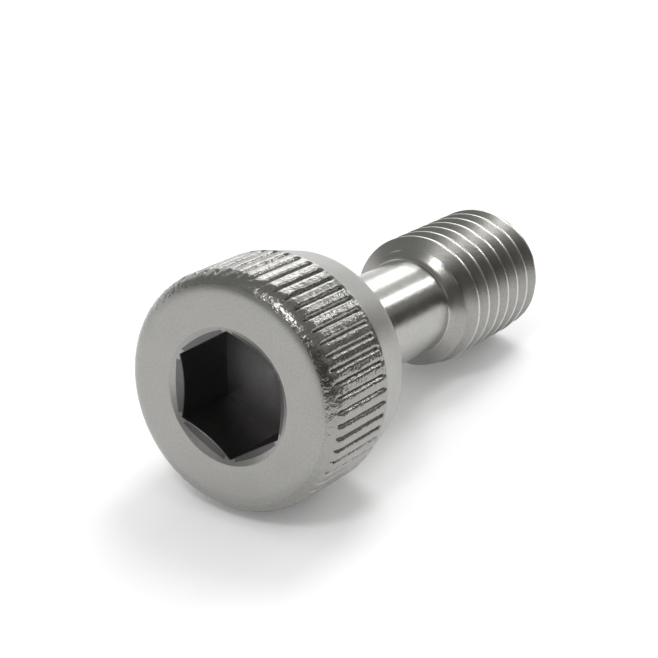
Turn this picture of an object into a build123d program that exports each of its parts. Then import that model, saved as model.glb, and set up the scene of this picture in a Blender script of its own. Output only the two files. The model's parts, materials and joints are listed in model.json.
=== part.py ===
from build123d import *
import math
import os

# ---------------------------------------------------------------- driving dimensions, millimetres
# Axial positions are measured from the face of the head toward the tip.
# Head, after the standard proportions of an M8 socket head.
HEAD_DIA = 13.0            # over the crests of the knurl
HEAD_HEIGHT = 8.0          # face to bearing face
CROWN_R = 1.1              # rounding between the face and the knurled side
KNURL_START = 1.15
KNURL_END = 5.0
TAPER_START = 5.05         # the smooth taper behind the knurl starts here
KNURL_COUNT = 56           # straight grooves rolled round the head
KNURL_DEPTH = 0.22
KNURL_WIDTH = 0.36         # of one groove at the surface
KNURL_RAMP = 0.18          # length over which each end of a groove rises to the surface
REAR_DIA = 11.7            # of the smooth taper behind the knurl
REAR_CHAMFER = 0.3         # between the taper and the bearing face
# Drive socket.
SOCKET_AF = 6.0            # across the flats
SOCKET_DEPTH = 4.2
SOCKET_TURN = -4.65        # of a hexagon corner from the top of the head, degrees
RIM_DIA = 7.45             # countersink at the face
RIM_ANGLE = 60.0           # of the countersink's side from the axis
DRILL_DIA = 5.9            # shallow cone left by the drill in the floor
DRILL_CONE = 0.45
# Waisted shank.
NECK_DIA = 5.7
NECK_FILLET = 0.5          # under the head
NECK_END = 17.2            # where the neck starts to widen into the thread's root
ROOT_BLEND = 0.5           # length of that widening
THREAD_START = 19.1        # end of the chamfer in front of the thread
# Thread, M8 coarse.
THREAD_DIA = 8.0
PITCH = 1.25
ROOT_DIA = 6.47
ROOT_FLAT = PITCH / 6      # leaves a crest an eighth of the pitch wide
TOTAL_LENGTH = 28.0
TIP_CHAMFER = 0.7
TIP_FLOOR_DIA = 5.9

# Rest on a table: the rear end of the knurl and the thread's tip touch it.
REST_Z_HEAD = TAPER_START
REST_Z_TIP = TOTAL_LENGTH - TIP_CHAMFER
REST_TILT = math.degrees(math.atan2((HEAD_DIA - THREAD_DIA) / 2, REST_Z_TIP - REST_Z_HEAD))


def quarter(start, corner, end):
    """A rounding from start to end that leaves and arrives along the lines to corner."""
    k = 0.5523
    bend = [tuple(p + k * (c - p) for p, c in zip(at, corner)) for at in (start, end)]
    return Bezier(start, bend[0], bend[1], end)


def body_of_revolution():
    """Head, neck and thread blank, turned about Z with the face at 0 and the tip at the top."""
    r_head, r_neck, r_root = HEAD_DIA / 2, NECK_DIA / 2, ROOT_DIA / 2
    r_thread, r_rear, f = THREAD_DIA / 2, REAR_DIA / 2, NECK_FILLET
    with BuildSketch(Plane.XZ) as outline:
        with BuildLine():
            start = (0, 0)
            Line(start, (r_head - CROWN_R, 0))
            quarter((r_head - CROWN_R, 0), (r_head, 0), (r_head, CROWN_R))
            Line((r_head, CROWN_R), (r_head, TAPER_START))
            Line((r_head, TAPER_START), (r_rear, HEAD_HEIGHT - REAR_CHAMFER))
            Line((r_rear, HEAD_HEIGHT - REAR_CHAMFER), (r_rear - REAR_CHAMFER, HEAD_HEIGHT))
            Line((r_rear - REAR_CHAMFER, HEAD_HEIGHT), (r_neck + f, HEAD_HEIGHT))
            quarter((r_neck + f, HEAD_HEIGHT), (r_neck, HEAD_HEIGHT), (r_neck, HEAD_HEIGHT + f))
            Line((r_neck, HEAD_HEIGHT + f), (r_neck, NECK_END))
            Line((r_neck, NECK_END), (r_root, NECK_END + ROOT_BLEND))
            Line((r_root, NECK_END + ROOT_BLEND), (r_thread, THREAD_START))
            Line((r_thread, THREAD_START), (r_thread, TOTAL_LENGTH - TIP_CHAMFER))
            Line((r_thread, TOTAL_LENGTH - TIP_CHAMFER), (TIP_FLOOR_DIA / 2, TOTAL_LENGTH))
            Line((TIP_FLOOR_DIA / 2, TOTAL_LENGTH), (0, TOTAL_LENGTH))
            Line((0, TOTAL_LENGTH), start)
        make_face()
    return revolve(outline.sketch, Axis.Z)


def thread_groove():
    """The helical space between two turns of the thread, longer than the thread at both ends."""
    z_low, z_high = NECK_END - 0.2, TOTAL_LENGTH + 0.7
    r_root, r_out = ROOT_DIA / 2, THREAD_DIA / 2 + 0.12
    half_root = ROOT_FLAT / 2
    half_out = half_root + (r_out - r_root) * math.tan(math.radians(30))
    helix = Helix(PITCH, z_high - z_low, r_root, center=(0, 0, z_low))
    with BuildSketch(Plane.XZ) as space:
        with BuildLine():
            Polyline((r_root, z_low - half_root), (r_out, z_low - half_out), (r_out, z_low + half_out),
                     (r_root, z_low + half_root), close=True)
        make_face()
    return sweep(space.sketch, path=helix, is_frenet=True)


def knurl_grooves():
    """V grooves along the side of the head; each one rises to the surface at both ends."""
    r, out = HEAD_DIA / 2, 0.3
    slope = KNURL_WIDTH / 2 / KNURL_DEPTH
    z0, z1 = KNURL_START, KNURL_END
    stations = [(z0, 0.0), (z0 + KNURL_RAMP, KNURL_DEPTH), (z1 - KNURL_RAMP, KNURL_DEPTH), (z1, 0.0)]
    sections = []
    for z, depth in stations:
        half = slope * (depth + out)
        with BuildSketch(Plane.XY.offset(z)) as vee:
            with BuildLine():
                Polyline((r - depth, 0), (r + out, half), (r + out, -half), close=True)
            make_face()
        sections.append(vee.sketch)
    one = loft(sections, ruled=True)
    return [Rot(0, 0, 360 * i / KNURL_COUNT) * one for i in range(KNURL_COUNT)]


def socket():
    """Hexagon socket, the countersink round its mouth and the drill's cone in its floor."""
    corner_r = SOCKET_AF / math.sqrt(3)
    with BuildSketch(Plane.XY) as hexagon:
        RegularPolygon(corner_r, 6, rotation=SOCKET_TURN)
    prism = extrude(hexagon.sketch, SOCKET_DEPTH)
    sink_depth = (RIM_DIA / 2) / math.tan(math.radians(RIM_ANGLE))
    sink = Pos(0, 0, sink_depth / 2) * Cone(RIM_DIA / 2, 0, sink_depth)
    floor = Pos(0, 0, SOCKET_DEPTH + DRILL_CONE / 2) * Cone(DRILL_DIA / 2, 0, DRILL_CONE)
    return [prism, sink, floor]


def at_rest(shape):
    """Lays the upright screw on its side and puts the origin under the middle of its box."""
    t = math.radians(REST_TILT)
    lie = Plane(origin=(0, 0, 0), x_dir=(math.sin(t), 0, math.cos(t)), z_dir=(math.cos(t), 0, -math.sin(t)))
    shape = lie.location * shape
    box = shape.bounding_box()
    return Pos(-(box.min.X + box.max.X) / 2, 0, -box.min.Z) * shape


screw = body_of_revolution()
screw = screw - thread_groove()
screw = screw - knurl_grooves()
screw = screw - socket()
screw = at_rest(screw)

os.makedirs("parts", exist_ok=True)
export_step(screw.solids()[0], "parts/captive_screw.step")
box = screw.bounding_box()
print("solids", len(screw.solids()), "valid", screw.solids()[0].is_valid, "volume", round(screw.volume, 2))
print("box", box.min, box.max, "tilt", round(REST_TILT, 3))
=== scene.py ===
# %% [markdown]
# A captive screw: knurled socket head, waisted neck, short coarse thread. It lies on its side.
# The imported solid is the fixed frame, so it is loaded first. Everything here is built in the same place
# and size.

# %% Load the frame
import json
import math

import bmesh
import bpy
import numpy as np
from mathutils import Matrix, Vector

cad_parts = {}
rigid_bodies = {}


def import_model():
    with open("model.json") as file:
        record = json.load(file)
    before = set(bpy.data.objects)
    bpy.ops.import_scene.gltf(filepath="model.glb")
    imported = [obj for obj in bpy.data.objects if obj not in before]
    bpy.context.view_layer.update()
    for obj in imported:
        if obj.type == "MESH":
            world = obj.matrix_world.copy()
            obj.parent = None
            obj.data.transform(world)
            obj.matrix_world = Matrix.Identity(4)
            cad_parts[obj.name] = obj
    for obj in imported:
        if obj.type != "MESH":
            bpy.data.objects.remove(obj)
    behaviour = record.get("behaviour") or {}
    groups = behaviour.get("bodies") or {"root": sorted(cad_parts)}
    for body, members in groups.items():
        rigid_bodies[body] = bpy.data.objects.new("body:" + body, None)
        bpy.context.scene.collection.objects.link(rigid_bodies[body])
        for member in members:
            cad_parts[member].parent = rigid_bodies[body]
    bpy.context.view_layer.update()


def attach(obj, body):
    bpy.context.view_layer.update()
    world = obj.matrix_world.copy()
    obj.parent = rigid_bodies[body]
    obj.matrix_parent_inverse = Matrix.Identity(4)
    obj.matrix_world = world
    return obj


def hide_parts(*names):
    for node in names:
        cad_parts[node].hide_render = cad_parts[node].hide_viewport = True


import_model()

# %% [markdown]
# The sizes are those of the turned and rolled part, in millimetres. The screw is first built upright:
# its own axis is Z, the face of the head is at 0 and the tip is at the top. Building upright keeps the
# rules for the knurl and the thread simple; the finished piece is laid down once, at the end.

# %% Sizes
MM = 0.001
HEAD_R, CROWN_R, HEAD_HEIGHT = 6.5, 1.1, 8.0
TAPER_START, TAPER_END, REAR_R = 5.05, 7.7, 5.85
GROOVES, GROOVE_DEPTH, GROOVE_WIDTH = 56, 0.17, 0.26
KNURL_START, KNURL_END, KNURL_RAMP = 0.5, 5.0, 0.25
SOCKET_FLAT, SOCKET_DEPTH, SOCKET_TURN = 3.0, 4.2, -4.65
RIM_R, DRILL_R, DRILL_CONE = 3.725, 2.95, 0.45
NECK_R, NECK_FILLET, NECK_END, ROOT_Z = 2.85, 0.5, 18.1, 18.5
THREAD_R, ROOT_R, PITCH, THREAD_START = 4.0, 3.235, 1.25, 19.1
LENGTH, TIP_CHAMFER, TIP_R = 28.0, 0.7, 2.95
FACE = (-13.7722, 0.0, 7.02322)      # centre of the head's face, lying
TILT = math.atan2(HEAD_R - THREAD_R, LENGTH - TIP_CHAMFER - TAPER_START)
HEAD_COLUMNS, SHANK_COLUMNS = GROOVES * 8, GROOVES * 4
print("dip of the axis, degrees:", round(math.degrees(TILT), 3))

# %% [markdown]
# On the real screw the head is pressed from a round blank, so every part of its outside except the
# knurl is a shape of revolution. It could be spun with a Screw modifier, but the rings are laid one by one
# here because the hexagon, the grooves and the thread need their columns in known places. Each station
# is a height and a radius; rounded corners get several stations.


# %% Stations of the turned outline
def rounded(start, corner, end, steps):
    """Points of a quarter round from start to end, whose sides meet at corner."""
    points = []
    for i in range(1, steps + 1):
        a = math.pi / 2 * i / steps
        u, v = 1 - math.cos(a), math.sin(a)
        points.append(tuple(s + (c - s) * v + (e - c) * u for s, c, e in zip(start, corner, end)))
    return points


def outside_stations():
    """(z, r) from the rim of the socket's countersink to the start of the thread."""
    flat = [(0.0, RIM_R), (0.0, RIM_R + 0.04), (0.0, 4.3), (0.0, 4.8), (0.0, 5.15), (0.0, HEAD_R - CROWN_R)]
    crown = rounded(flat[-1], (0.0, HEAD_R), (CROWN_R, HEAD_R), 14)
    side = [(z, HEAD_R) for z in np.linspace(1.22, 4.7, 24)]
    side += [(KNURL_END - KNURL_RAMP, HEAD_R), (KNURL_END - KNURL_RAMP / 2, HEAD_R), (KNURL_END, HEAD_R)]
    taper = [(TAPER_START, HEAD_R), (TAPER_START + 0.12, HEAD_R - 0.03)]
    for z in (5.8, 6.5, 7.2, 7.66):
        fall = (HEAD_R - REAR_R) * (z - TAPER_START) / (TAPER_END - TAPER_START)
        taper.append((z, HEAD_R - fall))
    rear = [(7.74, REAR_R - 0.045), (7.9, REAR_R - 0.2), (7.97, REAR_R - 0.27)]
    rear += [(HEAD_HEIGHT, REAR_R - 0.33), (HEAD_HEIGHT, 5.0)]
    return flat + crown + side + taper + rear


def shank_stations():
    """(z, r) from the bearing face to the root of the thread."""
    inner = (HEAD_HEIGHT, NECK_R + NECK_FILLET)
    neck = [(HEAD_HEIGHT, 4.2), inner]
    neck += rounded(inner, (HEAD_HEIGHT, NECK_R), (HEAD_HEIGHT + NECK_FILLET, NECK_R), 6)
    neck += [(z, NECK_R) for z in np.linspace(9.0, NECK_END - 0.05, 12)]
    sweep = ((0.02, 0.01), (0.1, 0.05), (0.18, 0.11), (0.26, 0.19), (0.34, 0.29))
    neck += [(NECK_END + t, NECK_R + r) for t, r in sweep]
    return neck + [(ROOT_Z, ROOT_R)]


outside, shank = outside_stations(), shank_stations()
print("stations:", len(outside), "on the head,", len(shank), "on the shank")

# %% [markdown]
# A short lathe written here turns stations into rings of points and joins them with quads. Its columns are
# evenly spaced, eight to each groove of the knurl, so every groove gets the same number of points. The
# shank needs only half as many columns. The two counts meet on the flat bearing face, where a five-sided
# face shows no seam.


# %% Lathe
class Shell:
    """Collects points and faces of the upright screw."""

    def __init__(self):
        self.points, self.faces = [], []

    def ring(self, z, radii, angles):
        first = len(self.points)
        for r, a in zip(radii, angles):
            self.points.append((r * math.cos(a), r * math.sin(a), float(z) if np.isscalar(z) else 0.0))
        return list(range(first, first + len(angles)))

    def lift(self, ring, heights):
        for k, z in zip(ring, heights):
            x, y, _ = self.points[k]
            self.points[k] = (x, y, float(z))

    def join(self, a, b):
        """Faces between two rings; b may have half the points of a."""
        if len(a) == len(b):
            n = len(a)
            self.faces += [(a[i], a[(i + 1) % n], b[(i + 1) % n], b[i]) for i in range(n)]
        else:
            n = len(b)
            self.faces += [(a[2 * i], a[2 * i + 1], a[(2 * i + 2) % (2 * n)], b[(i + 1) % n], b[i])
                           for i in range(n)]

    def cap(self, ring, z):
        self.points.append((0.0, 0.0, z))
        n, c = len(ring), len(self.points) - 1
        self.faces += [(ring[i], ring[(i + 1) % n], c) for i in range(n)]

    def mesh(self, name):
        m = bpy.data.meshes.new(name)
        m.from_pydata([tuple(c * MM for c in p) for p in self.points], [], self.faces)
        m.validate()
        return m


def around(n):
    return [2 * math.pi * i / n for i in range(n)]


body = Shell()
head_angles, shank_angles = around(HEAD_COLUMNS), around(SHANK_COLUMNS)
previous = first_ring = None
for z, r in outside:
    ring = body.ring(z, [r] * HEAD_COLUMNS, head_angles)
    first_ring = first_ring or ring
    if previous:
        body.join(previous, ring)
    previous = ring
for z, r in shank:
    ring = body.ring(z, [r] * SHANK_COLUMNS, shank_angles)
    body.join(previous, ring)
    previous = ring
print("turned outline:", len(body.points), "points")

# %% [markdown]
# The socket is punched: a countersink leads into a hexagon whose floor keeps the shallow cone of the
# drill. A boolean would leave long thin triangles round the mouth. Instead the columns of the head go on
# inward. Six of them are nudged onto the corners of the hexagon, so its edges are exact and crisp.


# %% Socket
def apart(a, b):
    """Angle between two directions."""
    return abs((a - b + math.pi) % (2 * math.pi) - math.pi)


turn = math.radians(SOCKET_TURN)
hex_angles = list(head_angles)
for k in range(6):
    corner = (turn + k * math.pi / 3) % (2 * math.pi)
    nearest = min(range(HEAD_COLUMNS), key=lambda i: apart(head_angles[i], corner))
    hex_angles[nearest] = corner


def hex_radius(a):
    """Distance from the axis to the side of the hexagon in direction a."""
    d = (a - turn) % (math.pi / 3) - math.pi / 6
    return SOCKET_FLAT / math.cos(d)


def sink_depth(r):
    return (RIM_R - r) / math.tan(math.radians(60.0))


lip = 0.035                                        # tiny rounding where the countersink meets the walls
rings = []
for share in (0.12, 0.5, 0.95):
    radii = [RIM_R + (hex_radius(a) + lip - RIM_R) * share for a in hex_angles]
    rings.append((radii, [sink_depth(r) for r in radii]))
radii = [hex_radius(a) for a in hex_angles]
rings.append(([r + lip for r in radii], [sink_depth(r + lip) for r in radii]))
rings.append(([r + lip * 0.3 for r in radii], [sink_depth(r) + 0.012 for r in radii]))
rings.append((radii, [sink_depth(r) + 0.045 for r in radii]))
for z in (0.9, 1.8, 2.8, 3.7, SOCKET_DEPTH):
    rings.append((radii, [z] * HEAD_COLUMNS))
rings.append(([DRILL_R] * HEAD_COLUMNS, [SOCKET_DEPTH] * HEAD_COLUMNS))
for t in (0.7, 0.4, 0.15):
    rings.append(([DRILL_R * t] * HEAD_COLUMNS, [SOCKET_DEPTH + DRILL_CONE * (1 - t)] * HEAD_COLUMNS))
previous_in = first_ring
for radii, heights in rings:
    ring = body.ring(0.0, radii, hex_angles)
    body.lift(ring, heights)
    body.join(ring, previous_in)
    previous_in = ring
body.cap(list(reversed(previous_in)), SOCKET_DEPTH + DRILL_CONE)
print("with the socket:", len(body.points), "points")

# %% [markdown]
# The screw ends in a short chamfer and a flat. The chamfer comes with the thread further on. The flat is
# a small shell of its own here, because the thread between it and the neck is wound separately.

# %% Tip
tip = Shell()
previous = tip.ring(LENGTH, [TIP_R] * SHANK_COLUMNS, shank_angles)
for z, r in [(LENGTH, TIP_R - 0.25), (LENGTH, 2.0), (LENGTH, 1.0)]:
    ring = tip.ring(z, [r] * SHANK_COLUMNS, shank_angles)
    tip.join(previous, ring)
    previous = ring
tip.cap(previous, LENGTH)
print("tip:", len(tip.points), "points")

# %% [markdown]
# Both repeating shapes, the knurl and the thread, are Geometry Nodes trees. A few helpers keep the trees
# readable: one makes a tree with named inputs, one adds a math node and returns its output.


# %% Helpers for node trees
KINDS = {"geometry": "NodeSocketGeometry", "float": "NodeSocketFloat", "int": "NodeSocketInt",
         "object": "NodeSocketObject", "material": "NodeSocketMaterial"}


def new_tree(name, inputs):
    """A Geometry Nodes tree with the given (name, kind) inputs and one geometry output."""
    tree = bpy.data.node_groups.new(name, "GeometryNodeTree")
    for label, kind in inputs:
        tree.interface.new_socket(name=label, in_out="INPUT", socket_type=KINDS[kind])
    tree.interface.new_socket(name="Geometry", in_out="OUTPUT", socket_type=KINDS["geometry"])
    return tree, tree.nodes.new("NodeGroupInput"), tree.nodes.new("NodeGroupOutput")


def put(tree, socket, value):
    """Links an output to the socket, or sets a plain value on it."""
    if isinstance(value, bpy.types.NodeSocket):
        tree.links.new(value, socket)
    else:
        socket.default_value = value


def calc(tree, operation, *values, clamp=False):
    node = tree.nodes.new("ShaderNodeMath")
    node.operation, node.use_clamp = operation, clamp
    for socket, value in zip(node.inputs, values):
        put(tree, socket, value)
    return node.outputs[0]


def vector_of(tree, x, y, z):
    node = tree.nodes.new("ShaderNodeCombineXYZ")
    for socket, value in zip(node.inputs, (x, y, z)):
        put(tree, socket, value)
    return node.outputs[0]


def finish_tree(tree, geometry, material, out):
    """Ends a tree in Realize Instances and Set Material."""
    real = tree.nodes.new("GeometryNodeRealizeInstances")
    paint = tree.nodes.new("GeometryNodeSetMaterial")
    tree.links.new(geometry, real.inputs[0])
    tree.links.new(real.outputs[0], paint.inputs["Geometry"])
    tree.links.new(material, paint.inputs["Material"])
    tree.links.new(paint.outputs[0], out.inputs[0])


def run_tree(mesh, tree, values, name):
    """Runs the tree on a temporary object and returns the result as a plain mesh."""
    piece = bpy.data.objects.new(name, mesh)
    bpy.context.scene.collection.objects.link(piece)
    modifier = piece.modifiers.new(tree.name, "NODES")
    modifier.node_group = tree
    for item in tree.interface.items_tree:
        if item.item_type == "SOCKET" and item.in_out == "INPUT" and item.name in values:
            modifier[item.identifier] = values[item.name]
    bpy.context.view_layer.update()
    done = bpy.data.meshes.new_from_object(piece.evaluated_get(bpy.context.evaluated_depsgraph_get()))
    bpy.data.objects.remove(piece)
    return done


# %% [markdown]
# The knurl is rolled: narrow V grooves pressed into the side of the head, with wide lands between them.
# Rolling is never perfectly even, and the front of the lands is bruised, more on one side. A boolean cut
# for every groove would be slow and would leave poor faces, so a tree moves the points of the lathed mesh
# instead. It finds each point's angle, folds it into one groove spacing, and pushes the point inward by
# the depth of the V. A window makes each groove rise to the surface at both ends. Noise with a fixed seed
# dents the lands and the groove edges, and only ever inward.

# %% Knurl tree and its inputs
steel = bpy.data.materials.new("pickled_stainless")
knurl, given, out = new_tree("Rolled knurl", [
    ("Geometry", "geometry"), ("Grooves", "float"), ("Groove depth", "float"), ("Groove width", "float"),
    ("Start", "float"), ("End", "float"), ("Ramp", "float"), ("Inner limit", "float"),
    ("Unevenness", "float"), ("Seed", "float"), ("Bruise end", "float"), ("Bruise fade", "float"),
    ("Dent start", "float"), ("Dent ramp", "float"), ("Finish", "material")])
g = {s.name: s for s in given.outputs}
where = knurl.nodes.new("ShaderNodeSeparateXYZ")
knurl.links.new(knurl.nodes.new("GeometryNodeInputPosition").outputs[0], where.inputs[0])
px, py, pz = where.outputs
squares = [calc(knurl, "MULTIPLY", p, p) for p in (px, py)]
radius = calc(knurl, "SQRT", calc(knurl, "ADD", *squares))
angle = calc(knurl, "ARCTAN2", py, px)
spacing = calc(knurl, "DIVIDE", 2 * math.pi, g["Grooves"])
print("inputs of the knurl:", list(g)[:-1])


# %% Grooves of the knurl
def fold(value, by):
    """Distance of value from the nearest whole multiple of by."""
    part = calc(knurl, "FRACT", calc(knurl, "ADD", calc(knurl, "DIVIDE", value, by), 0.5))
    return calc(knurl, "MULTIPLY", calc(knurl, "ABSOLUTE", calc(knurl, "SUBTRACT", part, 0.5)), by)


across = calc(knurl, "MULTIPLY", fold(angle, spacing), radius)
half_width = calc(knurl, "MULTIPLY", g["Groove width"], 0.5)
vee = calc(knurl, "SUBTRACT", 1.0, calc(knurl, "DIVIDE", across, half_width), clamp=True)
front = calc(knurl, "DIVIDE", calc(knurl, "SUBTRACT", pz, g["Start"]), g["Ramp"], clamp=True)
rear = calc(knurl, "DIVIDE", calc(knurl, "SUBTRACT", g["End"], pz), g["Ramp"], clamp=True)
outer = calc(knurl, "GREATER_THAN", radius, g["Inner limit"])
window = calc(knurl, "MULTIPLY", calc(knurl, "MINIMUM", front, rear), outer)
groove = calc(knurl, "MULTIPLY", calc(knurl, "MULTIPLY", vee, g["Groove depth"]), window)
print("nodes that shape a groove:", len(knurl.nodes))

# %% Dents and bruises
DENT_SCALE, DENT_STRETCH, DENT_LEVEL = 1500.0, 0.45, 0.6
BRUISED_SIDE, BRUISED_SPREAD, BRUISED_MORE = 0.6, 1.5, 2.2
noise = knurl.nodes.new("ShaderNodeTexNoise")
noise.noise_dimensions = "4D"
noise.inputs["Scale"].default_value = DENT_SCALE
noise.inputs["Detail"].default_value = 3.0
knurl.links.new(g["Seed"], noise.inputs["W"])
stretch = vector_of(knurl, px, py, calc(knurl, "MULTIPLY", pz, DENT_STRETCH))
knurl.links.new(stretch, noise.inputs["Vector"])
near_face = calc(knurl, "DIVIDE", calc(knurl, "SUBTRACT", g["Bruise end"], pz), g["Bruise fade"], clamp=True)
facing = calc(knurl, "COSINE", calc(knurl, "SUBTRACT", angle, BRUISED_SIDE))
facing = calc(knurl, "MULTIPLY", facing, BRUISED_SPREAD, clamp=True)
bruised = calc(knurl, "MULTIPLY", near_face, facing)
more = calc(knurl, "ADD", 1.0, calc(knurl, "MULTIPLY", bruised, BRUISED_MORE))
amount = calc(knurl, "MULTIPLY", g["Unevenness"], more)
lead_in = calc(knurl, "DIVIDE", calc(knurl, "SUBTRACT", pz, g["Dent start"]), g["Dent ramp"], clamp=True)
dent_window = calc(knurl, "MULTIPLY", calc(knurl, "MINIMUM", lead_in, rear), outer)
dents = calc(knurl, "MULTIPLY", calc(knurl, "SUBTRACT", noise.outputs[0], DENT_LEVEL), amount)
dents = calc(knurl, "MINIMUM", calc(knurl, "MULTIPLY", dents, dent_window), 0.0)
print("nodes with the dents:", len(knurl.nodes))

# %% Move the points and run the knurl
push = calc(knurl, "SUBTRACT", dents, groove)
share = calc(knurl, "DIVIDE", push, calc(knurl, "MAXIMUM", radius, 1e-6))
shift = [calc(knurl, "MULTIPLY", p, share) for p in (px, py)]
move = knurl.nodes.new("GeometryNodeSetPosition")
knurl.links.new(g["Geometry"], move.inputs["Geometry"])
knurl.links.new(vector_of(knurl, *shift, 0.0), move.inputs["Offset"])
finish_tree(knurl, move.outputs[0], g["Finish"], out)
knurled = run_tree(body.mesh("turned_body"), knurl, {
    "Grooves": float(GROOVES), "Groove depth": GROOVE_DEPTH * MM, "Groove width": GROOVE_WIDTH * MM,
    "Start": KNURL_START * MM, "End": KNURL_END * MM, "Ramp": KNURL_RAMP * MM, "Inner limit": 5.0 * MM,
    "Unevenness": 0.045 * MM, "Seed": 4.0, "Bruise end": 2.6 * MM, "Bruise fade": 1.6 * MM,
    "Dent start": 0.12 * MM, "Dent ramp": 0.4 * MM, "Finish": steel}, "knurl_work")
print("knurled body:", len(knurled.vertices), "points")

# %% [markdown]
# A thread is one ridge that winds round the shank. Here its section over one pitch is a short line of
# points, rounded a little at the crest and at the root as rolling leaves them. The tree lays a grid over
# the shank: each row takes its place and radius from one point of that line, and each column turns a
# little and climbs by its share of the pitch. So rows follow the helix and the crest stays sharp. Heights
# are then held between the neck and the tip, and radii under the chamfers, which gives the run-in and the
# run-out of a real thread with no cutting. Merging by distance closes the seam.

# %% Thread form
FLANK_START = 0.104                                # where the straight flank would meet the root
slope = 1 / math.tan(math.radians(30))
half = [(0.0, 0.0), (0.06, 0.0), (0.11, 0.015), (0.16, (0.16 - FLANK_START) * slope)]
half += [(s, (s - FLANK_START) * slope) for s in (0.26, 0.36, 0.44, 0.48, 0.51)]
half += [(0.53, THREAD_R - ROOT_R - 0.03), (0.55, THREAD_R - ROOT_R - 0.006)]
form_points = half + [(PITCH / 2, THREAD_R - ROOT_R)] + [(PITCH - s, h) for s, h in reversed(half[1:])]
form_mesh = bpy.data.meshes.new("thread_form")
form_mesh.from_pydata([(s * MM, (ROOT_R + h) * MM, 0.0) for s, h in form_points], [], [])
form = bpy.data.objects.new("thread_form", form_mesh)
bpy.context.scene.collection.objects.link(form)
print("points in one pitch of the thread:", len(form_points))

# %% Thread tree
thread, given, out = new_tree("Wound thread", [
    ("Geometry", "geometry"), ("Thread form", "object"), ("Points in form", "int"), ("Turns", "int"),
    ("Columns", "int"), ("Pitch", "float"), ("Root height", "float"), ("Root radius", "float"),
    ("Thread start", "float"), ("Thread radius", "float"), ("Chamfer height", "float"),
    ("Tip height", "float"), ("Tip radius", "float"), ("Lead angle", "float"), ("Finish", "material")])
g = {s.name: s for s in given.outputs}
grid = thread.nodes.new("GeometryNodeMeshGrid")
rows = calc(thread, "ADD", calc(thread, "MULTIPLY", g["Points in form"], g["Turns"]), 1)
thread.links.new(rows, grid.inputs["Vertices X"])
thread.links.new(calc(thread, "ADD", g["Columns"], 1), grid.inputs["Vertices Y"])
index = thread.nodes.new("GeometryNodeInputIndex").outputs[0]
per_row = calc(thread, "ADD", g["Columns"], 1)
row = calc(thread, "FLOOR", calc(thread, "DIVIDE", calc(thread, "ADD", index, 0.5), per_row))
column = calc(thread, "SUBTRACT", index, calc(thread, "MULTIPLY", row, per_row))
lap = calc(thread, "FLOOR", calc(thread, "DIVIDE", calc(thread, "ADD", row, 0.5), g["Points in form"]))
point = calc(thread, "SUBTRACT", row, calc(thread, "MULTIPLY", lap, g["Points in form"]))
info = thread.nodes.new("GeometryNodeObjectInfo")
thread.links.new(g["Thread form"], info.inputs["Object"])
sample = thread.nodes.new("GeometryNodeSampleIndex")
sample.data_type, sample.domain = "FLOAT_VECTOR", "POINT"
thread.links.new(info.outputs["Geometry"], sample.inputs["Geometry"])
thread.links.new(thread.nodes.new("GeometryNodeInputPosition").outputs[0], sample.inputs["Value"])
thread.links.new(point, sample.inputs["Index"])
part = thread.nodes.new("ShaderNodeSeparateXYZ")
thread.links.new(sample.outputs[0], part.inputs[0])
turned = calc(thread, "MULTIPLY", calc(thread, "DIVIDE", column, g["Columns"]), 2 * math.pi)
climb = calc(thread, "MULTIPLY", calc(thread, "DIVIDE", column, g["Columns"]), g["Pitch"])
back_off = calc(thread, "MULTIPLY", g["Pitch"], calc(thread, "ADD", g["Lead angle"], 1.0))
foot = calc(thread, "SUBTRACT", g["Root height"], back_off)
within = calc(thread, "ADD", calc(thread, "MULTIPLY", lap, g["Pitch"]), part.outputs[0])
height = calc(thread, "ADD", calc(thread, "ADD", foot, climb), within)
height = calc(thread, "MAXIMUM", calc(thread, "MINIMUM", height, g["Tip height"]), g["Root height"])


def cone(z0, r0, z1, r1):
    """Radius of a cone through two stations, at the point's height."""
    t = calc(thread, "DIVIDE", calc(thread, "SUBTRACT", height, z0), calc(thread, "SUBTRACT", z1, z0))
    return calc(thread, "ADD", r0, calc(thread, "MULTIPLY", t, calc(thread, "SUBTRACT", r1, r0)))


run_in = cone(g["Root height"], g["Root radius"], g["Thread start"], g["Thread radius"])
run_out = cone(g["Chamfer height"], g["Thread radius"], g["Tip height"], g["Tip radius"])
reach = calc(thread, "MINIMUM", calc(thread, "MINIMUM", run_in, run_out), part.outputs[1])
place = vector_of(thread, calc(thread, "MULTIPLY", reach, calc(thread, "COSINE", turned)),
                  calc(thread, "MULTIPLY", reach, calc(thread, "SINE", turned)), height)
wind = thread.nodes.new("GeometryNodeSetPosition")
thread.links.new(grid.outputs["Mesh"], wind.inputs["Geometry"])
thread.links.new(place, wind.inputs["Position"])
weld = thread.nodes.new("GeometryNodeMergeByDistance")
weld.inputs["Distance"].default_value = 1e-6
thread.links.new(wind.outputs[0], weld.inputs["Geometry"])
finish_tree(thread, weld.outputs[0], g["Finish"], out)
wound = run_tree(bpy.data.meshes.new("thread_seed"), thread, {
    "Thread form": form, "Points in form": len(form_points), "Turns": 11, "Columns": SHANK_COLUMNS,
    "Pitch": PITCH * MM, "Root height": ROOT_Z * MM, "Root radius": ROOT_R * MM,
    "Thread start": THREAD_START * MM, "Thread radius": THREAD_R * MM,
    "Chamfer height": (LENGTH - TIP_CHAMFER) * MM, "Tip height": LENGTH * MM, "Tip radius": TIP_R * MM,
    "Lead angle": 0.70, "Finish": steel}, "thread_work")
bpy.data.objects.remove(form)
print("wound thread:", len(wound.vertices), "points")

# %% [markdown]
# The three shells share rings of points at the neck and at the tip, so joining them and merging doubles
# gives one closed skin, as the real screw is one piece of steel. Then the screw is laid down: its axis
# dips toward the tip until the rear of the knurl and the thread both touch the floor.

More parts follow.
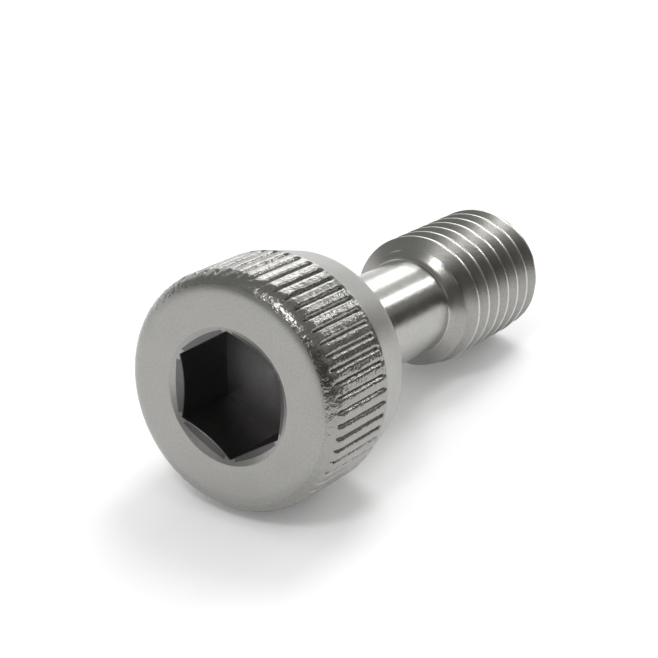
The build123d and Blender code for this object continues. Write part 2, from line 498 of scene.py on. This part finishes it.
# %% One closed skin, laid on its side
WELD, TOO_SHORT = 2e-6, 1e-7                       # metres
skin = bmesh.new()
for part_mesh in (knurled, tip.mesh("tip_shell"), wound):
    skin.from_mesh(part_mesh)
bmesh.ops.remove_doubles(skin, verts=skin.verts, dist=WELD)
bmesh.ops.dissolve_degenerate(skin, edges=skin.edges, dist=TOO_SHORT)
bmesh.ops.recalc_face_normals(skin, faces=skin.faces)
print("open edges:", sum(1 for e in skin.edges if len(e.link_faces) != 2),
      "volume mm3:", round(skin.calc_volume() * 1e9, 1))
c, s = math.cos(TILT), math.sin(TILT)
lie = Matrix(((s, 0, c, FACE[0] * MM), (0, -1, 0, 0), (c, 0, -s, FACE[2] * MM), (0, 0, 0, 1)))
skin.transform(lie)
screw_mesh = bpy.data.meshes.new("captive_screw_skin")
skin.to_mesh(screw_mesh)
skin.free()
screw_mesh.shade_smooth()
screw_mesh.set_sharp_from_angle(angle=math.radians(32))
screw = bpy.data.objects.new("screw_body", screw_mesh)
bpy.context.scene.collection.objects.link(screw)
print("triangles:", sum(len(p.vertices) - 2 for p in screw_mesh.polygons))

# %% [markdown]
# Stainless steel is bare metal, so its colour is the colour of its mirror, and the finish is all in how
# rough that mirror is. Pressed and pickled skin is satin with a fine cloudy grain. Where a tool has
# turned the neck, faint rings run round it. One function builds each finish from the same few nodes:
# two sizes of grain change roughness and tint a little, and bump gives the grain, the rings and the
# coarser sparkle of the knurl. Patterns read Object coordinates through a Mapping that turns them in line
# with the screw's own axis. The tint is that of dull, pickled steel, darker than steel polished clean.


# %% Steel finishes
def steel_finish(material, tint, roughness, spread, grain, grain_depth, rings=0.0, sparkle=0.0):
    """Fills the material's nodes. Sizes are in millimetres; spread is how far roughness wanders."""
    material.use_nodes = True
    t = material.node_tree
    t.nodes.clear()
    shader, out = t.nodes.new("ShaderNodeBsdfPrincipled"), t.nodes.new("ShaderNodeOutputMaterial")
    t.links.new(shader.outputs[0], out.inputs[0])
    shader.inputs["Metallic"].default_value = 1.0
    coords, turn_to = t.nodes.new("ShaderNodeTexCoord"), t.nodes.new("ShaderNodeMapping")
    turn_to.vector_type = "TEXTURE"
    turn_to.inputs["Location"].default_value = [v * MM for v in FACE]
    turn_to.inputs["Rotation"].default_value = (0.0, TILT, 0.0)
    t.links.new(coords.outputs["Object"], turn_to.inputs["Vector"])
    along = turn_to.outputs[0]

    def grain_of(size, detail, vector=along):
        n = t.nodes.new("ShaderNodeTexNoise")
        n.inputs["Scale"].default_value, n.inputs["Detail"].default_value = 1 / (size * MM), detail
        n.inputs["Roughness"].default_value = 0.6
        t.links.new(vector, n.inputs["Vector"])
        return n.outputs[0]

    def mapped(value, low, high):
        m = t.nodes.new("ShaderNodeMapRange")
        m.inputs["From Min"].default_value, m.inputs["From Max"].default_value = 0.3, 0.7
        m.inputs["To Min"].default_value, m.inputs["To Max"].default_value = low, high
        t.links.new(value, m.inputs["Value"])
        return m.outputs[0]

    cloud, fine = grain_of(1.6, 3.0), grain_of(grain, 4.0)
    t.links.new(mapped(cloud, roughness - spread, roughness + spread), shader.inputs["Roughness"])
    mix = t.nodes.new("ShaderNodeMix")
    mix.data_type = "RGBA"
    mix.inputs["A"].default_value = (*[c * 0.90 for c in tint], 1)
    mix.inputs["B"].default_value = (*[c * 1.08 for c in tint], 1)
    t.links.new(mapped(fine, 0.0, 1.0), mix.inputs["Factor"])
    t.links.new(mix.outputs["Result"], shader.inputs["Base Color"])

    def bump(height, distance, under=None):
        b = t.nodes.new("ShaderNodeBump")
        b.inputs["Strength"].default_value = 1.0
        b.inputs["Distance"].default_value = distance * MM
        t.links.new(height, b.inputs["Height"])
        if under:
            t.links.new(under, b.inputs["Normal"])
        return b.outputs[0]

    normal = bump(fine, grain_depth)
    if sparkle:
        normal = bump(grain_of(grain * 2.5, 2.0), sparkle, normal)
    if rings:
        split, only = t.nodes.new("ShaderNodeSeparateXYZ"), t.nodes.new("ShaderNodeCombineXYZ")
        t.links.new(along, split.inputs[0])
        t.links.new(split.outputs[0], only.inputs[0])
        normal = bump(grain_of(0.16, 3.0, only.outputs[0]), rings, normal)
    t.links.new(normal, shader.inputs["Normal"])


# %% Finish of each part of the screw
TINT = (0.35, 0.346, 0.33)
finish_names = ("rolled_knurl_steel", "turned_neck_steel", "rolled_thread_steel", "punched_socket_steel",
                "burnished_crest_steel")
knurl_steel, neck_steel, thread_steel, socket_steel, crest_steel = map(bpy.data.materials.new, finish_names)
finishes = (steel, knurl_steel, neck_steel, thread_steel, socket_steel, crest_steel)
steel_finish(steel, TINT, roughness=0.33, spread=0.04, grain=0.11, grain_depth=0.007)
steel_finish(knurl_steel, [0.9 * v for v in TINT], roughness=0.22, spread=0.06, grain=0.13,
             grain_depth=0.016, sparkle=0.055)
steel_finish(neck_steel, [1.15 * v for v in TINT], roughness=0.23, spread=0.04, grain=0.2,
             grain_depth=0.003, rings=0.002)
steel_finish(thread_steel, TINT, roughness=0.30, spread=0.03, grain=0.14, grain_depth=0.005)
# Lighter tint on the crests: a painted highlight along the tops of the thread.
steel_finish(crest_steel, [1.5 * v for v in TINT], roughness=0.30, spread=0.06, grain=0.30, grain_depth=0.006)
# Dark tint on the socket's walls and floor: painted shade inside the recess.
steel_finish(socket_steel, (0.15, 0.145, 0.145), roughness=0.42, spread=0.05, grain=0.12, grain_depth=0.006)
print("finishes:", [m.name for m in finishes])

# %% [markdown]
# The finish changes from place to place: the knurl, the socket, darkened to paint the shade inside it, the
# neck, the thread, and the tops of its crests, lightened to paint the highlight they catch. Separate pieces
# would show joints where there are none, so the skin stays whole and each face takes the number of its own
# finish. To find it, the middle of each face is measured along the screw's axis and outward from it.

# %% Give each zone its finish
BODY, KNURL, NECK, THREAD, SOCKET, CREST = range(len(finishes))
screw_mesh.materials.clear()
for m in finishes:
    screw_mesh.materials.append(m)
centres = np.zeros(len(screw_mesh.polygons) * 3)
screw_mesh.polygons.foreach_get("center", centres)
centres = centres.reshape(-1, 3) / MM
to_screw = np.array([[math.cos(TILT), math.sin(TILT)], [0, 0], [-math.sin(TILT), math.cos(TILT)]])
local = (centres - np.array(FACE)) @ to_screw
depth = local[:, 0]
reach_r = np.hypot(local[:, 1], centres[:, 1])
zone = np.full(len(depth), BODY, dtype=np.int32)
zone[(depth > 0.1) & (depth < TAPER_START) & (reach_r > 5.7)] = KNURL
# Faces inside the socket take the dark tint of painted shade.
zone[(depth > 0.16) & (depth < 4.8) & (reach_r < 3.5)] = SOCKET
zone[(depth > HEAD_HEIGHT - 0.02) & (depth < ROOT_Z - 0.3)] = NECK
zone[depth >= ROOT_Z - 0.3] = THREAD
# The crest faces take the lighter tint of the painted highlight.
zone[(depth > THREAD_START) & (depth < LENGTH - TIP_CHAMFER) & (reach_r > THREAD_R - 0.04)] = CREST
screw_mesh.polygons.foreach_set("material_index", zone)
screw_mesh.update()
print("faces in each zone:", np.bincount(zone).tolist())
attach(screw, "root")
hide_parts("captive_screw")

# %% [markdown]
# Metal shows its surroundings more than its own colour, so the studio is built like one for small
# hardware: a pale sheet to stand on, and curved cards for the steel to mirror. A low dark wall runs round
# one side with a taller dark flag behind part of it. A grey screen stands further out and higher, three
# quarters of the way round, and a grey ceiling closes the top. The cards glow evenly and are seen only in
# reflections, so they throw no light or shadow on the sheet.


# %% Helpers for the floor and the cards
def stage_disc(name, radius, z, material):
    m = bpy.data.meshes.new(name)
    n = 96
    edge = [(radius * math.cos(a), radius * math.sin(a), z) for a in around(n)]
    m.from_pydata(edge, [], [tuple(range(n))])
    m.materials.append(material)
    o = bpy.data.objects.new(name, m)
    bpy.context.scene.collection.objects.link(o)
    return o


def stage_band(name, radius, low, high, start, end, material):
    """An upright curved card; start and end are degrees round from +X."""
    n = 48
    turns = [math.radians(start + (end - start) * i / n) for i in range(n + 1)]
    m = bpy.data.meshes.new(name)
    points = [(radius * math.cos(a), radius * math.sin(a), z) for z in (low, high) for a in turns]
    m.from_pydata(points, [], [(i, i + 1, n + 2 + i, n + 1 + i) for i in range(n)])
    m.materials.append(material)
    o = bpy.data.objects.new(name, m)
    bpy.context.scene.collection.objects.link(o)
    return o


def glow(name, level):
    m = bpy.data.materials.new(name)
    m.use_nodes = True
    m.node_tree.nodes.clear()
    e, out = m.node_tree.nodes.new("ShaderNodeEmission"), m.node_tree.nodes.new("ShaderNodeOutputMaterial")
    e.inputs["Color"].default_value = (*level, 1)
    m.node_tree.links.new(e.outputs[0], out.inputs[0])
    return m


def only_in_reflections(o):
    o.visible_camera = o.visible_diffuse = o.visible_shadow = o.visible_transmission = False


# %% [markdown]
# The sheet is matt and keeps the shadow. It glows a little, but only toward the camera and in
# reflections. So the sheet, and its image in the steel, look nearly white while the lamps stay low.

# %% Pale sheet
PAPER_GLOW = 0.08
paper = bpy.data.materials.new("pale_paper")
paper.use_nodes = True
nodes, links = paper.node_tree.nodes, paper.node_tree.links
nodes["Principled BSDF"].inputs["Base Color"].default_value = (0.9, 0.9, 0.9, 1)
nodes["Principled BSDF"].inputs["Roughness"].default_value = 0.9
nodes["Principled BSDF"].inputs["Specular IOR Level"].default_value = 0.0
rays, either = nodes.new("ShaderNodeLightPath"), nodes.new("ShaderNodeMath")
either.operation, either.use_clamp = "ADD", True
links.new(rays.outputs["Is Camera Ray"], either.inputs[0])
links.new(rays.outputs["Is Glossy Ray"], either.inputs[1])
lift_node = nodes.new("ShaderNodeMath")
lift_node.operation = "MULTIPLY"
lift_node.inputs[1].default_value = PAPER_GLOW
links.new(either.outputs[0], lift_node.inputs[0])
nodes["Principled BSDF"].inputs["Emission Color"].default_value = (1, 1, 1, 1)
links.new(lift_node.outputs[0], nodes["Principled BSDF"].inputs["Emission Strength"])
stage_disc("paper_floor", radius=0.6, z=0.0, material=paper)
print("sheet:", paper.name)

# %% Cards
GREY, WALL_DARK, FLAG_DARK = (0.34, 0.34, 0.325), (0.10, 0.083, 0.078), (0.08, 0.065, 0.062)
wall = stage_band("dark_wall", radius=0.10, low=0.0005, high=0.030, start=200, end=352,
                  material=glow("wall_cloth", WALL_DARK))
screen = stage_band("grey_screen", radius=0.35, low=0.06, high=0.30, start=75, end=345,
                    material=glow("screen_cloth", GREY))
ceiling = stage_disc("grey_ceiling", radius=0.42, z=0.30, material=glow("ceiling_cloth", GREY))
flag = stage_band("dark_flag", radius=0.11, low=0.0005, high=0.080, start=195, end=262,
                  material=glow("flag_cloth", FLAG_DARK))
cards = (wall, screen, ceiling, flag)
for card in cards:
    only_in_reflections(card)
print("cards:", [card.name for card in cards])

# %% [markdown]
# The world is plain white. It shows itself at full strength to the camera, in mirrors and through glass,
# and lights the scene a little less, so that pale surfaces don't clip.

# %% World
world = bpy.data.worlds.new("studio")
bpy.context.scene.world = world
world.use_nodes = True
nodes, links = world.node_tree.nodes, world.node_tree.links
nodes.clear()
back, out = nodes.new("ShaderNodeBackground"), nodes.new("ShaderNodeOutputWorld")
rays = nodes.new("ShaderNodeLightPath")
seen = nodes.new("ShaderNodeMath")
seen.operation = "MAXIMUM"
links.new(rays.outputs["Is Camera Ray"], seen.inputs[0])
links.new(rays.outputs["Is Glossy Ray"], seen.inputs[1])
seen_too = nodes.new("ShaderNodeMath")
seen_too.operation = "MAXIMUM"
links.new(seen.outputs[0], seen_too.inputs[0])
links.new(rays.outputs["Is Transmission Ray"], seen_too.inputs[1])
level = nodes.new("ShaderNodeMapRange")
LIGHT_LEVEL, SEEN_LEVEL = 0.74, 1.0
level.inputs["To Min"].default_value = LIGHT_LEVEL
level.inputs["To Max"].default_value = SEEN_LEVEL
links.new(seen_too.outputs[0], level.inputs["Value"])
links.new(level.outputs[0], back.inputs["Strength"])
links.new(back.outputs[0], out.inputs[0])
back.inputs["Color"].default_value = (1, 1, 1, 1)
print("world lights at", LIGHT_LEVEL, "and is seen at", SEEN_LEVEL)

# %% [markdown]
# Four soft round lamps stand about the screw. Two low ones beyond the tip give the streaks of a window.
# A wide one high up gives the soft shadow; its mirror image would be a bright blot on the steel, so it
# is hidden from reflections. A small one over the camera's side lifts the face of the head.


# %% Lamps
def lamp(name, place, aim, size, power):
    data = bpy.data.lights.new(name, "AREA")
    data.shape, data.size, data.energy = "DISK", size, power
    o = bpy.data.objects.new(name, data)
    bpy.context.scene.collection.objects.link(o)
    o.location = place
    o.rotation_euler = (Vector(aim) - Vector(place)).to_track_quat("-Z", "Y").to_euler()
    return o


SCREW_MIDDLE, SCREW_FOOT = (0.0, 0.0, 0.005), (0.0, 0.0, 0.0)


def around_screw(turn, lift, distance):
    """A place turn degrees round from +X and lift degrees up, seen from the screw."""
    t, u = math.radians(turn), math.radians(lift)
    out_x, out_y = distance * math.cos(u) * math.cos(t), distance * math.cos(u) * math.sin(t)
    return (out_x, out_y, distance * math.sin(u) + SCREW_MIDDLE[2])


lamp("window_key", around_screw(turn=22, lift=27, distance=0.30), SCREW_MIDDLE, size=0.12, power=0.10)
lamp("window_slit", around_screw(turn=-15, lift=26, distance=0.30), SCREW_MIDDLE, size=0.05, power=0.05)
soft_key = lamp("high_soft_key", around_screw(turn=8, lift=60, distance=0.40), SCREW_FOOT,
                size=0.16, power=0.50)
soft_key.visible_glossy = False
lamp("camera_side", around_screw(turn=-170, lift=54, distance=0.25), SCREW_MIDDLE, size=0.055, power=0.12)

# %% [markdown]
# The camera stands about ten centimetres away, above and to one side of the head, and looks along the
# screw toward the tip. The lens is long for so small a scene, which keeps the head from looking swollen.
# Its focal length is given as a share of the width of the frame.

# %% Camera
SENSOR_WIDTH, FOCAL, FRAME_WIDTH = 36.0, 1703.1, 658
LOOK_DOWN, LOOK_TOWARD = 25.87, 32.89              # degrees
data = bpy.data.cameras.new("view")
data.sensor_width = SENSOR_WIDTH
data.lens = SENSOR_WIDTH * FOCAL / FRAME_WIDTH
data.clip_start, data.clip_end = 0.003, 10.0
camera = bpy.data.objects.new("view", data)
bpy.context.scene.collection.objects.link(camera)
camera.location = (-0.074883, -0.045706, 0.047793)
camera.rotation_euler = (math.radians(90 - LOOK_DOWN), 0.0, math.radians(LOOK_TOWARD - 90))
bpy.context.scene.camera = camera
bpy.context.scene.view_settings.view_transform = "Standard"
print("lens, mm:", round(data.lens, 1))
